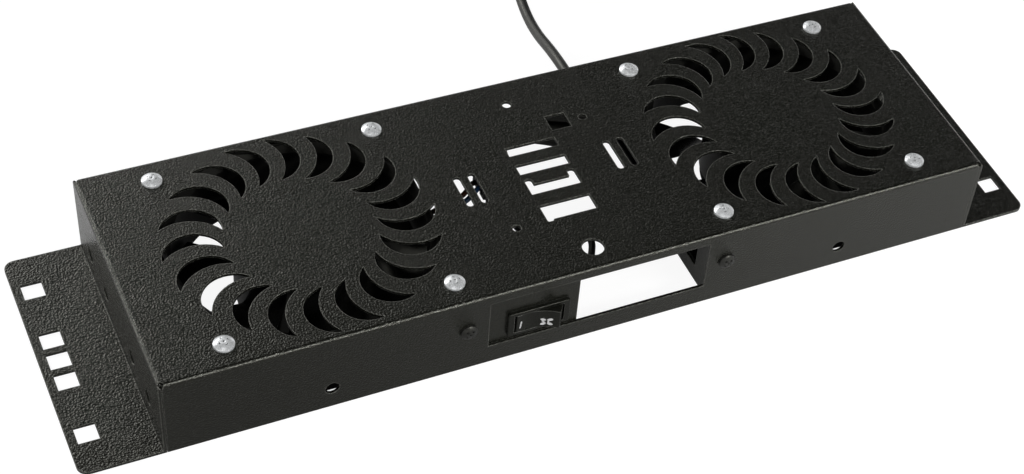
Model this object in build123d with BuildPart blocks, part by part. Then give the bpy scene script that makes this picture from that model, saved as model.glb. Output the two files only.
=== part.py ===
# A rack fan unit one rack unit high: a folded steel tray with ears, two axial fans under
# crescent grilles, a rocker switch on a bracket behind the front window, and a mains lead.
# The origin is on the floor under the middle of the tray. +X runs along the tray, -Y is the
# front with the switch, +Z is up. All sizes are in millimetres.
import os
from math import cos, pi, radians, sin, sqrt, tan

from build123d import *

# Driving dimensions of the tray
tray_length = 410.0
tray_height = 44.0
sheet = 1.5
bend_outer_radius = 2.0
bend_inner_radius = 0.5
rack_width = 482.6
ear_corner_radius = 5.0
corner_seam = 0.2
corner_relief_radius = 1.2
seam_reach = 3.6
ear_bend_outer_radius = 1.35

# Square holes in the ears for cage nuts, and the rack's hole spacing
rack_hole_side = 9.5
rack_hole_spacing = 465.1
rack_hole_rows = (-44.45, -12.7, 0.0, 12.7, 44.45)

# The grilles: crescents between two radii, turned round each fan's axis
fan_spacing = 240.0
crescent_count = 20
crescent_overhang = 5.1
crescent_root_radius = 34.6
crescent_start_angle = 87.8
crescent_root_lag = 1.6
crescent_outer_bulge_radius = 51.7
crescent_outer_bulge_lag = 15.0
crescent_inner_bulge_radius = 49.2
crescent_inner_bulge_lag = 7.1

# The functional cut-outs between the fans
bay_slot_width = 25.4
bay_slots = ((17.5, 5.8), (4.7, 6.3), (-9.2, 6.3), (-25.2, 9.8))
hook_leg_width = 3.7
hook_leg_height = 3.9
hook_leg_round = 1.5
bay_notch_width = 3.2
bay_notch_depth = 1.0
bay_notch_round = 0.9
tie_slot_length = 20.0
tie_slot_width = 3.5
tie_slot_places = (-42.0, -34.8, 34.8, 42.0)
sensor_hole_side = 10.0
sensor_hole_place = (19.0, 30.0)
small_hole_radius = 2.0
small_hole_places = ((31.6, 29.1), (-28.0, -30.0))
back_hole_radius = 2.25
back_hole_place = (0.2, 48.8)
front_hole_radius = 5.2
front_hole_place = (0.2, -52.5)
back_opening_radius = 6.0
back_opening_place = (7.6, 28.8)

# Holes in the walls
window_length = 110.0
window_height = 28.0
window_bottom = 10.8
end_hole_radius = 3.75
end_hole_places = (-45.0, -20.0, 20.0, 45.0)
end_hole_height = 14.0
cable_hole_radius = 3.25
cable_hole_spacing = 258.0
cable_hole_height = 12.0

# Screws and nuts
screw_radius = 2.0
screw_hole_radius = 2.25
screw_head_radius = 4.7
screw_head_height = 2.5
head_edge_share = 0.45
head_flat_share = 0.06
crown_radius_share = 0.62
crown_height_share = 0.9
first_cross_angle = 20.0
cross_angle_step = 37.0
cross_width = 1.0
cross_length = 4.6
cross_depth = 1.4
black_head_radius = 4.1
black_head_height = 2.3
nut_across_flats = 7.0
nut_height = 3.2
nut_chamfer = 0.35
screw_end_length = 1.5

# The fans
frame_side = 120.0
frame_depth = 38.0
frame_corner_radius = 4.0
frame_flange = 4.5
screw_inset = 7.5
fan_wall_gap = 4.0
duct_rim = 2.5
duct_wall = 2.0
duct_flare = 3.0
duct_flare_depth = 4.0
duct_side_wall = 1.0
flange_hole_radius = 2.2
motor_base_radius = 30.0
motor_base_thickness = 3.0
strut_count = 4
strut_width = 5.0
strut_first_angle = 45.0
bearing_tube_radius = 7.5
bearing_tube_height = 23.4
bearing_outer_radius = 5.5
bearing_width = 4.0
bearing_low_seat = 3.0
bearing_high_seat = 19.2
bearing_shoulder_radius = 4.6
bearing_groove_depth = 0.4
bearing_race_width = 1.0
fit_clearance = 0.02
running_clearance = 0.03
shaft_radius = 2.0
shaft_bottom = 1.0
shaft_top = 34.0
shaft_chamfer = 0.3
clip_radius = 3.6
clip_thickness = 0.6
clip_slot_width = 1.6
hub_radius = 31.0
hub_wall = 1.5
hub_roof = 2.0
hub_bottom = 5.5
hub_top = 35.5
hub_edge_radius = 2.0
hub_boss_radius = 4.5
hub_boss_bottom = 25.0
blade_count = 7
blade_tip_gap = 1.2
blade_root_half_width = 12.0
blade_root_half_height = 12.0
blade_tip_half_width = 24.0
blade_tip_half_height = 8.5
blade_middle_extra = 2.5
blade_overrun = 2.0
blade_underrun = 3.0
blade_camber = 3.2
blade_thickness = 1.9
blade_edge_thickness = 0.9
blade_middle_height = 20.5
rotor_ring_wall = 3.0
rotor_ring_bottom = 7.0
rotor_ring_top = 30.0
air_gap = 0.5
stator_bottom = 8.5
stator_top = 19.5
stator_yoke_radius = 11.5
pole_count = 4
pole_neck_width = 6.0
pole_shoe_depth = 3.0
pole_shoe_gap = 5.0
coil_build = 3.2
coil_clearance = 0.15
winding_corner_radius = 2.0
winding_squeeze = 1.2
winding_inset = 0.6
pole_first_gap_angle = 45.0
impeller_rest_angles = {"left": 8.5, "right": 4.0}

# The bracket behind the window
bracket_sheet = 1.2
bracket_nut_gap = 2.8
bracket_end_margin = 8.8
bracket_bottom = 3.5
bracket_top = 41.5
bracket_corner_radius = 2.0
bracket_cross_angle = 40.0
bracket_window_left = -10.5
bracket_fan_gap = 2.3
bracket_window_bottom = 6.5
bracket_window_top = 39.2
bracket_arm_depth = 30.0
bracket_arm_bottom = 3.5
bracket_arm_height = 8.5
bracket_gusset_depth = 11.0
bracket_gusset_top = 39.2

# The rocker switch
switch_centre = (-30.7, 21.1)
bezel_length = 30.6
bezel_height = 14.5
bezel_thickness = 2.0
bezel_corner_radius = 1.2
bezel_edge_radius = 0.6
switch_body_length = 27.4
switch_body_height = 12.6
switch_body_depth = 17.0
switch_cutout_clearance = 0.1
barb_width = 6.0
barb_length = 5.0
barb_height = 0.9
barb_gap = 0.2
well_length = 24.6
well_height = 11.0
well_depth = 10.5
pivot_depth = 4.5
pivot_radius = 1.5
pivot_clearance = 0.05
rocker_side_clearance = 0.2
rocker_end_clearance = 0.2
rocker_tilt = 12.0
rocker_middle_rise = 4.8
rocker_end_rise = 7.0
rocker_keel_depth = 2.5
rocker_keel_half_length = 7.0
rocker_edge_radius = 0.5
rocker_shoulder_angle = 15.0
terminal_width = 4.8
terminal_thickness = 0.8
terminal_length = 7.5
terminal_spacing = 14.0

# The terminal block
block_left = -20.0
block_right = -5.5
block_front = 16.0
block_back = 38.6
block_bottom = 8.0
block_top = 20.0
pole_pitch = 7.5
block_notch = 1.4
block_upper_hole = 15.0
block_lower_hole = 11.0
block_hole_radius = 1.5
block_hole_depth = 4.0
block_screw_radius = 1.9
block_screw_inset = 4.6
block_screw_depth = 2.6
block_screw_recess = 1.0
block_chamfer = 0.8
block_slot_width = 0.6
block_slot_depth = 0.9
block_slot_first_angle = 30.0
block_slot_angle_step = 50.0

# Leads and cores
core_diameter = 1.9
switch_core_diameter = 1.5
single_lead_diameter = 2.6
switch_sleeve_diameter = 3.4
fan_sleeve_diameter = 5.0
cord_diameter = 5.6
arc_share = 0.45

# The gland, the earth stud and its ring terminal
gland_fan_gap = 8.2
gland_height = 17.5
gland_hole_radius = 6.4
gland_neck_radius = 6.3
gland_flange_radius = 7.8
gland_flange_thickness = 2.2
gland_flange_edge = 0.9
gland_boot_root_radius = 5.0
gland_boot_tip_radius = 3.8
gland_boot_length = 20.0
gland_bore_clearance = 0.05
gland_mouth_radius = 3.3
gland_mouth_depth = 11.0
gland_inner_length = 3.6
gland_inner_radius = 7.4
stud_place = (-16.0, 15.0)
stud_length = 9.0
stud_chamfer = 0.4
ring_radius = 4.0
ring_thickness = 0.8
ring_tongue_width = 3.0
ring_barrel_radius = 1.7
ring_barrel_start = 4.6
ring_barrel_length = 5.0

# The coil of the length that lies outside the photograph, and the plug
coil_centre = (109.0, 201.0)
coil_first_turn_radius = 42.2
coil_turns_per_layer = 4
coil_layers = 2
coil_edge_radius = 2.6
plug_radius = 18.2
plug_length = 40.0
plug_face_length = 13.0
plug_neck_radius = 4.6
plug_collar_radius = 5.8
plug_collar_share = 0.45
plug_waist_share = 0.75
plug_waist_radius = 10.0
plug_rim_radius = 1.0
plug_tip_radius = 1.6
plug_groove_clearance = 0.2
plug_pin_radius = 2.4
plug_pin_length = 19.0
plug_pin_depth = 12.0
plug_pin_spacing = 19.0
plug_contact_width = 4.0
plug_contact_thickness = 0.8
plug_contact_depth = 2.2

# Sizes that follow from the fans: the tray is as deep as they need, and the leads start at them
tray_depth = frame_side + 2 * (fan_wall_gap + sheet)
half_depth = tray_depth / 2
wall_middle = half_depth - sheet / 2
fan_gap = (fan_spacing - frame_side) / 2
screw_pattern = frame_side - 2 * screw_inset
duct_radius = frame_side / 2 - duct_rim
blade_tip_radius = duct_radius - blade_tip_gap
crescent_tip_radius = duct_radius + crescent_overhang
bracket_window_right = fan_gap - bracket_fan_gap
bracket_screw_spacing = 2 * (bracket_window_right + bracket_sheet + nut_across_flats / 2 + bracket_nut_gap)
bracket_length = bracket_screw_spacing + 2 * bracket_end_margin
gland_place = (fan_gap - gland_fan_gap, gland_height)
boot_end = half_depth + gland_flange_thickness + gland_boot_length
terminal_end = sheet - half_depth + switch_body_depth + terminal_length

# Routes of the leads inside the tray, and of the cord behind it
right_fan_sleeve_route = [
    (fan_gap, 14, 7),
    (fan_gap - 9, 14, 7),
    (45, 25, 9),
    (39.5, 38.5, 11),
    (28, 47.9, 12),
    (17, 53.6, 12.5),
    (6.5, 54.6, 12.6),
]
switch_sleeve_route = [
    (switch_centre[0], terminal_end + 5.5, switch_centre[1] - 1.2),
    (switch_centre[0] + 0.5, terminal_end + 13, switch_centre[1] - 1.6),
    (-24, -21.5, 19),
    (-14, -26, 18.6),
    (-5, -36.5, 18),
    (3.5, -40, 17.3),
    (9.3, -36, 16.9),
    (14.6, -26, 16.1),
    (15.2, -17.5, 15.1),
    (10, -11.5, 14.4),
    (2, -9.4, 13.8),
    (-6.5, -8.8, 13.2),
    (-13.8, -4, 12.7),
    (-14, 3.5, 12.4),
    (-9, 9, 12.2),
    (-4, 12.8, 12.2),
]
mains_sheath_route = [
    (gland_place[0], wall_middle, gland_height),
    (gland_place[0], 51, gland_height),
    (40, 45.5, 19.5),
    (25, 49.5, 21.5),
    (13, 56.5, 21.2),
    (4, 57.3, 20.4),
]
cord_route = [
    (gland_place[0], wall_middle, gland_height),
    (gland_place[0], boot_end + 2.3, gland_height),
    (53, 111, 14),
    (54.9, 130, 7.5),
    (57.5, 149, 3.4),
    (61, 169.5, 2.8),
    (66.2, 188, 2.8),
]
tail_route = [
    (66.9, 215, 8.4),
    (69.1, 227, 9.8),
    (74.4, 238.7, 12.6),
    (82.7, 248.7, 15.8),
    (93.5, 256, 18),
    (106, 259.6, 18.2),
]

# Planes and heights worked out from the sizes above
half_length = tray_length / 2
front_face = -half_depth
front_inside = front_face + sheet
back_inside = half_depth - sheet
plate_bottom = tray_height - sheet
fan_bottom = plate_bottom - frame_depth
window_middle = window_bottom + window_height / 2
hub_inside_radius = hub_radius - hub_wall
rotor_outer_radius = hub_inside_radius - fit_clearance
rotor_inner_radius = rotor_outer_radius - rotor_ring_wall
stator_radius = rotor_inner_radius - air_gap
bracket_back = front_inside + bracket_sheet
bezel_front = front_inside - bezel_thickness
pivot_y = bezel_front + pivot_depth
block_middle_y = (block_front + block_back) / 2
pole_places = [block_middle_y + pole_pitch * step for step in (-1, 0, 1)]
fan_centres = {"left": -fan_spacing / 2, "right": fan_spacing / 2}

pieces = {}


def keep(name, part):
    """Labels a finished piece and remembers it for writing."""
    part.label = name
    pieces[name] = part


def polar(radius, angle):
    """A point of a plan at a radius and an angle in degrees."""
    return (radius * cos(radians(angle)), radius * sin(radians(angle)))


def front_plane(y):
    """A plane parallel to the front wall: its x is +X and its y is +Z."""
    return Plane((0, y, 0), x_dir=(1, 0, 0), z_dir=(0, -1, 0))


def end_plane(x):
    """A plane parallel to the end walls: its x is +Y and its y is +Z."""
    return Plane((x, 0, 0), x_dir=(0, 1, 0), z_dir=(1, 0, 0))


def route_radii(points):
    """Arc radii of a lead's route: a share of the shorter run over the tangent of half the turn."""
    radii = []
    for before, here, after in zip(points, points[1:], points[2:]):
        run_in = Vector(*here) - Vector(*before)
        run_out = Vector(*after) - Vector(*here)
        turn = radians(run_in.get_angle(run_out))
        radii.append(arc_share * min(run_in.length, run_out.length) / tan(turn / 2))
    return radii


def tube(points, diameter):
    """A round lead along straight runs joined by tangent arcs."""
    with BuildPart() as lead:
        with BuildLine() as path:
            FilletPolyline(*points, radius=route_radii(points))
        start = Plane(Vector(*points[0]), z_dir=Vector(*points[1]) - Vector(*points[0]))
        with BuildSketch(start):
            Circle(diameter / 2)
        sweep(path=path.wire())
    return lead.part


def tube_check(name, points, diameter):
    """Prints a cord's radii and compares its volume with its section times its length."""
    with BuildLine() as path:
        FilletPolyline(*points, radius=route_radii(points))
    length = path.wire().length
    volume = pi * diameter**2 / 4 * length
    radii = ", ".join(f"{radius:.0f}" for radius in route_radii(points))
    print(f"{name}: length {length:.0f}, radii {radii}, volume ratio {pieces[name].volume / volume:.4f}")


def crescent_outline():
    """One crescent opening of a grille, its tips on two radii and both sides bulging one way."""
    tip = polar(crescent_tip_radius, crescent_start_angle)
    root = polar(crescent_root_radius, crescent_start_angle - crescent_root_lag)
    outer = polar(crescent_outer_bulge_radius, crescent_start_angle - crescent_outer_bulge_lag)
    inner = polar(crescent_inner_bulge_radius, crescent_start_angle - crescent_inner_bulge_lag)
    with BuildSketch() as crescent:
        with BuildLine():
            ThreePointArc(tip, outer, root)
            ThreePointArc(root, inner, tip)
        make_face()
    return crescent.sketch


def make_chassis():
    """The folded tray: top plate, four walls and two ears, with every hole cut."""
    top_plane = Plane.XY.offset(tray_height)
    crescent = crescent_outline()
    with BuildPart() as chassis:
        with BuildSketch():
            Rectangle(tray_length, tray_depth)
        extrude(amount=tray_height)
        fillet(chassis.edges().group_by(Axis.Z)[-1], radius=bend_outer_radius)
        with BuildSketch():
            Rectangle(tray_length - 2 * sheet, tray_depth - 2 * sheet)
        extrude(amount=plate_bottom, mode=Mode.SUBTRACT)
        ear_width = (rack_width - tray_length) / 2
        with BuildSketch():
            with Locations((-half_length - ear_width / 2, 0), (half_length + ear_width / 2, 0)):
                Rectangle(ear_width, tray_depth)
        extrude(amount=sheet)
        outer_corners = chassis.edges().filter_by(Axis.Z).filter_by(
            lambda edge: abs(edge.center().X) > half_length + ear_width / 2
        )
        fillet(outer_corners, radius=ear_corner_radius)
        ear_bends = chassis.edges().filter_by(Axis.Y).filter_by(
            lambda edge: abs(abs(edge.center().X) - half_length) < sheet / 4
            and abs(edge.center().Z - sheet) < sheet / 4
        )
        fillet(ear_bends, radius=bend_inner_radius)
        ear_outsides = chassis.edges().filter_by(Axis.Y).filter_by(
            lambda edge: abs(abs(edge.center().X) - half_length + sheet) < sheet / 4
            and edge.center().Z < sheet / 4
        )
        fillet(ear_outsides, radius=ear_bend_outer_radius)
        # The seams where the walls meet, with a relief hole at the top of each
        seam_x = half_length - sheet - corner_seam / 2
        with BuildSketch():
            with GridLocations(2 * seam_x, tray_depth, 2, 2):
                Rectangle(corner_seam, seam_reach)
        extrude(amount=tray_height - bend_outer_radius, mode=Mode.SUBTRACT)
        with BuildSketch(Plane.XY.offset(tray_height - bend_outer_radius)):
            with GridLocations(2 * seam_x, tray_depth - 2 * corner_relief_radius, 2, 2):
                Circle(corner_relief_radius)
        extrude(amount=bend_outer_radius, mode=Mode.SUBTRACT)
        # Openings of the top plate
        with BuildSketch(top_plane):
            with Locations(*[(x, 0) for x in fan_centres.values()]):
                with PolarLocations(0, crescent_count):
                    add(crescent)
                with GridLocations(screw_pattern, screw_pattern, 2, 2):
                    Circle(screw_hole_radius)
            for middle, height in bay_slots:
                with Locations((0, middle)):
                    Rectangle(bay_slot_width, height)
            with Locations(*[(x, 0) for x in tie_slot_places]):
                SlotOverall(tie_slot_length, tie_slot_width, rotation=90)
            with Locations(sensor_hole_place):
                Rectangle(sensor_hole_side, sensor_hole_side)
            with Locations(*small_hole_places):
                Circle(small_hole_radius)
            with Locations(back_hole_place):
                Circle(back_hole_radius)
            with Locations(front_hole_place):
                Circle(front_hole_radius)
        extrude(amount=-2 * sheet, mode=Mode.SUBTRACT)
        # The hooked slot's two legs with round tops, and the last slot's small notch
        hook_middle, hook_height = bay_slots[2]
        hook_base = hook_middle + hook_height / 2
        leg_x = bay_slot_width / 2 - hook_leg_width / 2
        notch_middle, notch_height = bay_slots[3]
        with BuildSketch(top_plane):
            with Locations((-leg_x, hook_base), (leg_x, hook_base)):
                RectangleRounded(hook_leg_width, 2 * hook_leg_height, hook_leg_round)
            notch_x = -bay_slot_width / 2 + bay_notch_width / 2
            with Locations((notch_x, notch_middle - notch_height / 2)):
                RectangleRounded(bay_notch_width, 2 * bay_notch_depth, bay_notch_round)
        extrude(amount=-2 * sheet, mode=Mode.SUBTRACT)
        # Openings of the front wall
        with BuildSketch(front_plane(front_face)):
            with Locations((0, window_middle)):
                Rectangle(window_length, window_height)
                with GridLocations(bracket_screw_spacing, 1, 2, 1):
                    Circle(screw_hole_radius)
            with Locations((0, cable_hole_height)):
                with GridLocations(cable_hole_spacing, 1, 2, 1):
                    Circle(cable_hole_radius)
        extrude(amount=-2 * sheet, mode=Mode.SUBTRACT)
        # The gland's hole and the spare opening of the back wall
        with BuildSketch(front_plane(half_depth)):
            with Locations(gland_place):
                Circle(gland_hole_radius)
            with Locations(back_opening_place):
                Circle(back_opening_radius)
        extrude(amount=2 * sheet, mode=Mode.SUBTRACT)
        # The holes of both end walls, and the square holes of the ears
        with BuildSketch(end_plane(-half_length)):
            with Locations(*[(y, end_hole_height) for y in end_hole_places]):
                Circle(end_hole_radius)
        extrude(amount=tray_length, mode=Mode.SUBTRACT)
        with BuildSketch():
            with Locations(*[(0, y) for y in rack_hole_rows]):
                with GridLocations(rack_hole_spacing, 1, 2, 1):
                    Rectangle(rack_hole_side, rack_hole_side)
        extrude(amount=sheet, mode=Mode.SUBTRACT)
    keep("chassis", chassis.part)


def pan_screw(seat, head_radius, head_height, length):
    """A cross-recess screw: seat is a plane under the head, facing out."""
    edge_height = head_edge_share * head_height
    flat_radius = head_flat_share * head_radius
    with BuildPart() as screw:
        with BuildSketch(Plane(seat.origin, x_dir=seat.x_dir, z_dir=-seat.y_dir)):
            with BuildLine():
                Polyline(
                    (0, -length),
                    (screw_radius, -length),
                    (screw_radius, 0),
                    (head_radius, 0),
                    (head_radius, edge_height),
                )
                crown = (crown_radius_share * head_radius, crown_height_share * head_height)
                ThreePointArc((head_radius, edge_height), crown, (flat_radius, head_height))
                Polyline((flat_radius, head_height), (0, head_height), (0, -length))
            make_face()
        revolve(axis=Axis(seat.origin, seat.z_dir))
        with BuildSketch(seat.offset(head_height)):
            Rectangle(cross_length, cross_width)
            Rectangle(cross_width, cross_length)
        extrude(amount=-cross_depth, mode=Mode.SUBTRACT)
    return screw.part


def hex_nut(seat):
    """A nut on a plane that faces away from its seat, its bore just clear of the screw."""
    with BuildPart() as nut:
        with BuildSketch(seat):
            RegularPolygon(nut_across_flats / 2, 6, major_radius=False)
            Circle(screw_radius + running_clearance, mode=Mode.SUBTRACT)
        extrude(amount=nut_height)
        chamfer(nut.edges().filter_by(GeomType.CIRCLE), length=nut_chamfer)
    return nut.part


def make_fan_fixings():
    """Eight screws through the top plate and the fans' top flanges, each with its nut."""
    length = sheet + frame_flange + nut_height + screw_end_length
    half = screw_pattern / 2
    places = [(x + dx, dy) for x in fan_centres.values() for dx in (-half, half) for dy in (-half, half)]
    screws = []
    nuts = []
    for number, (x, y) in enumerate(places):
        turned = polar(1, first_cross_angle + cross_angle_step * number)
        seat = Plane((x, y, tray_height), x_dir=(*turned, 0), z_dir=(0, 0, 1))
        screws.append(pan_screw(seat, screw_head_radius, screw_head_height, length))
        under = Plane((x, y, plate_bottom - frame_flange), x_dir=(1, 0, 0), z_dir=(0, 0, -1))
        nuts.append(hex_nut(under))
    keep("fan_screws", Compound(children=screws))
    keep("fan_nuts", Compound(children=nuts))


def make_fan_frame(side, x):
    """A square fan frame: two flanges joined by the duct, four struts and the motor's seat."""
    base = Plane((x, 0, fan_bottom))
    mouth_radius = duct_radius + duct_flare
    mouth_side = frame_side - 2 * duct_side_wall
    with BuildPart() as bore:
        with BuildSketch(Plane((x, 0, fan_bottom), x_dir=(1, 0, 0), z_dir=(0, -1, 0))):
            with BuildLine():
                Polyline(
                    (0, 0),
                    (mouth_radius, 0),
                    (duct_radius, duct_flare_depth),
                    (duct_radius, frame_depth - duct_flare_depth),
                    (mouth_radius, frame_depth),
                    (0, frame_depth),
                    close=True,
                )
            make_face()
        revolve(axis=Axis((x, 0, fan_bottom), (0, 0, 1)))
        with BuildSketch(base):
            Rectangle(mouth_side, mouth_side)
        extrude(amount=frame_depth, mode=Mode.INTERSECT)
    with BuildPart() as frame:
        for level in (0, frame_depth - frame_flange):
            with BuildSketch(base.offset(level)):
                RectangleRounded(frame_side, frame_side, frame_corner_radius)
                with GridLocations(screw_pattern, screw_pattern, 2, 2):
                    Circle(flange_hole_radius, mode=Mode.SUBTRACT)
            extrude(amount=frame_flange)
        with BuildSketch(base):
            Circle(duct_radius + duct_wall)
        extrude(amount=frame_depth)
        add(bore.part, mode=Mode.SUBTRACT)
        with BuildSketch(base):
            Circle(motor_base_radius)
            with PolarLocations(0, strut_count, start_angle=strut_first_angle):
                with Locations(((motor_base_radius + mouth_radius) / 2, 0)):
                    Rectangle(mouth_radius + duct_side_wall - motor_base_radius, strut_width)
        extrude(amount=motor_base_thickness)
        with BuildSketch(base):
            Circle(bearing_tube_radius)
        extrude(amount=bearing_tube_height)
        with BuildSketch(base):
            Circle(bearing_outer_radius + fit_clearance)
        extrude(amount=bearing_low_seat + bearing_width, mode=Mode.SUBTRACT)
        with BuildSketch(base.offset(bearing_high_seat)):
            Circle(bearing_outer_radius + fit_clearance)
        extrude(amount=frame_depth - bearing_high_seat, mode=Mode.SUBTRACT)
        with BuildSketch(base):
            Circle(bearing_shoulder_radius)
        extrude(amount=bearing_tube_height, mode=Mode.SUBTRACT)
    keep(f"{side}_fan_frame", frame.part)


def make_bearings(side, x):
    """Two ball bearings, each a ring with a shield groove in both faces."""
    rings = []
    for seat in (bearing_low_seat, bearing_high_seat):
        base = Plane((x, 0, fan_bottom + seat))
        with BuildPart() as bearing:
            with BuildSketch(base):
                Circle(bearing_outer_radius)
                Circle(shaft_radius + running_clearance, mode=Mode.SUBTRACT)
            extrude(amount=bearing_width)
            for level in (0, bearing_width - bearing_groove_depth):
                with BuildSketch(base.offset(level)):
                    Circle(bearing_outer_radius - bearing_race_width)
                    Circle(shaft_radius + bearing_race_width, mode=Mode.SUBTRACT)
                extrude(amount=bearing_groove_depth, mode=Mode.SUBTRACT)
        rings.append(bearing.part)
    keep(f"{side}_bearings", Compound(children=rings))


def blade_section(x, radius, half_width, half_height):
    """One section of a blade on the plane at a radius, thin and bowed, low edge leading."""
    plane = Plane((x + radius, 0, fan_bottom + blade_middle_height), x_dir=(0, 1, 0), z_dir=(1, 0, 0))
    chord = sqrt(half_width**2 + half_height**2)
    along = (half_width / chord, half_height / chord)
    out = (along[1], -along[0])
    edge = blade_edge_thickness / 2
    bow = blade_camber + blade_thickness / 2
    dip = blade_camber - blade_thickness / 2

    def place(run, rise):
        return (run * along[0] + rise * out[0], run * along[1] + rise * out[1])

    with BuildSketch(plane, mode=Mode.PRIVATE) as section:
        with BuildLine():
            ThreePointArc(place(-chord, edge), place(0, bow), place(chord, edge))
            Line(place(chord, edge), place(chord, -edge))
            ThreePointArc(place(chord, -edge), place(0, dip), place(-chord, -edge))
            Line(place(-chord, -edge), place(-chord, edge))
        make_face()
    return section.sketch


def make_impeller(side, x):
    """The impeller: a hub cup with a boss for the shaft, and twisted blades cut to the duct."""
    axis = Axis((x, 0, 0), (0, 0, 1))
    base = Plane((x, 0, fan_bottom))
    root_radius = hub_radius - hub_wall / 2
    with BuildPart() as blade:
        sections = [
            blade_section(
                x, root_radius - blade_underrun, blade_root_half_width, blade_root_half_height
            ),
            blade_section(
                x,
                (root_radius + blade_tip_radius) / 2,
                (blade_root_half_width + blade_tip_half_width) / 2 + blade_middle_extra,
                (blade_root_half_height + blade_tip_half_height) / 2,
            ),
            blade_section(
                x, blade_tip_radius + blade_overrun, blade_tip_half_width, blade_tip_half_height
            ),
        ]
        loft(sections)
        with BuildSketch(base):
            Circle(blade_tip_radius)
            Circle(root_radius, mode=Mode.SUBTRACT)
        extrude(amount=frame_depth, mode=Mode.INTERSECT)
    with BuildPart() as impeller:
        with BuildSketch(base.offset(hub_bottom)):
            Circle(hub_radius)
        extrude(amount=hub_top - hub_bottom)
        fillet(impeller.edges().group_by(Axis.Z)[-1], radius=hub_edge_radius)
        with BuildSketch(base.offset(hub_bottom)):
            Circle(hub_inside_radius)
        extrude(amount=hub_top - hub_roof - hub_bottom, mode=Mode.SUBTRACT)
        with BuildSketch(base.offset(hub_boss_bottom)):
            Circle(hub_boss_radius)
        extrude(amount=hub_top - hub_roof - hub_boss_bottom)
        with BuildSketch(base.offset(hub_boss_bottom)):
            Circle(shaft_radius + fit_clearance)
        extrude(amount=shaft_top - hub_boss_bottom, mode=Mode.SUBTRACT)
        for step in range(blade_count):
            angle = impeller_rest_angles[side] + 360 / blade_count * step
            add(blade.part.rotate(axis, angle))
    keep(f"{side}_impeller", impeller.part)


def make_motor(side, x):
    """The moving and the still parts of an outer-rotor motor."""
    base = Plane((x, 0, fan_bottom))
    with BuildPart() as shaft:
        with BuildSketch(base.offset(shaft_bottom)):
            Circle(shaft_radius)
        extrude(amount=shaft_top - shaft_bottom)
        chamfer(shaft.edges().filter_by(GeomType.CIRCLE), length=shaft_chamfer)
    keep(f"{side}_shaft", shaft.part)
    clip_level = bearing_low_seat - clip_thickness - 2 * running_clearance
    with BuildPart() as clip:
        with BuildSketch(base.offset(clip_level)):
            Circle(clip_radius)
            Circle(shaft_radius + fit_clearance, mode=Mode.SUBTRACT)
            with Locations((clip_radius, 0)):
                Rectangle(clip_radius, clip_slot_width, mode=Mode.SUBTRACT)
        extrude(amount=clip_thickness)
    keep(f"{side}_shaft_clip", clip.part)
    with BuildPart() as ring:
        with BuildSketch(base.offset(rotor_ring_bottom)):
            Circle(rotor_outer_radius)
            Circle(rotor_inner_radius, mode=Mode.SUBTRACT)
        extrude(amount=rotor_ring_top - rotor_ring_bottom)
    keep(f"{side}_rotor_ring", ring.part)
    shoe_middle = stator_radius - pole_shoe_depth / 2
    with BuildPart() as core:
        with BuildSketch(base.offset(stator_bottom)):
            Circle(stator_radius)
            Circle(stator_radius - pole_shoe_depth, mode=Mode.SUBTRACT)
            with PolarLocations(0, pole_count, start_angle=pole_first_gap_angle):
                with Locations((stator_radius, 0)):
                    Rectangle(3 * pole_shoe_depth, pole_shoe_gap, mode=Mode.SUBTRACT)
            with PolarLocations(0, pole_count):
                with Locations((shoe_middle / 2, 0)):
                    Rectangle(shoe_middle, pole_neck_width)
            Circle(stator_yoke_radius)
            Circle(bearing_tube_radius + fit_clearance, mode=Mode.SUBTRACT)
        extrude(amount=stator_top - stator_bottom)
    keep(f"{side}_stator_core", core.part)
    coil_inner = stator_yoke_radius + winding_inset
    half_neck = pole_neck_width / 2 + coil_clearance
    shoe_inside = stator_radius - pole_shoe_depth
    coil_outer = sqrt(shoe_inside**2 - (half_neck + coil_build) ** 2) - coil_clearance
    stator_middle = fan_bottom + (stator_bottom + stator_top) / 2
    coils = []
    for step in range(pole_count):
        turned = polar(1, 360 / pole_count * step)
        reach = Plane(
            (x + coil_inner * turned[0], coil_inner * turned[1], stator_middle),
            x_dir=(-turned[1], turned[0], 0),
            z_dir=(*turned, 0),
        )
        neck_height = stator_top - stator_bottom + 2 * coil_clearance
        with BuildPart() as coil:
            with BuildSketch(reach):
                winding_height = neck_height + 2 * coil_build - winding_squeeze
                RectangleRounded(2 * (half_neck + coil_build), winding_height, winding_corner_radius)
                Rectangle(2 * half_neck, neck_height, mode=Mode.SUBTRACT)
            extrude(amount=coil_outer - coil_inner)
        coils.append(coil.part)
    keep(f"{side}_stator_coils", Compound(children=coils))


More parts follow.
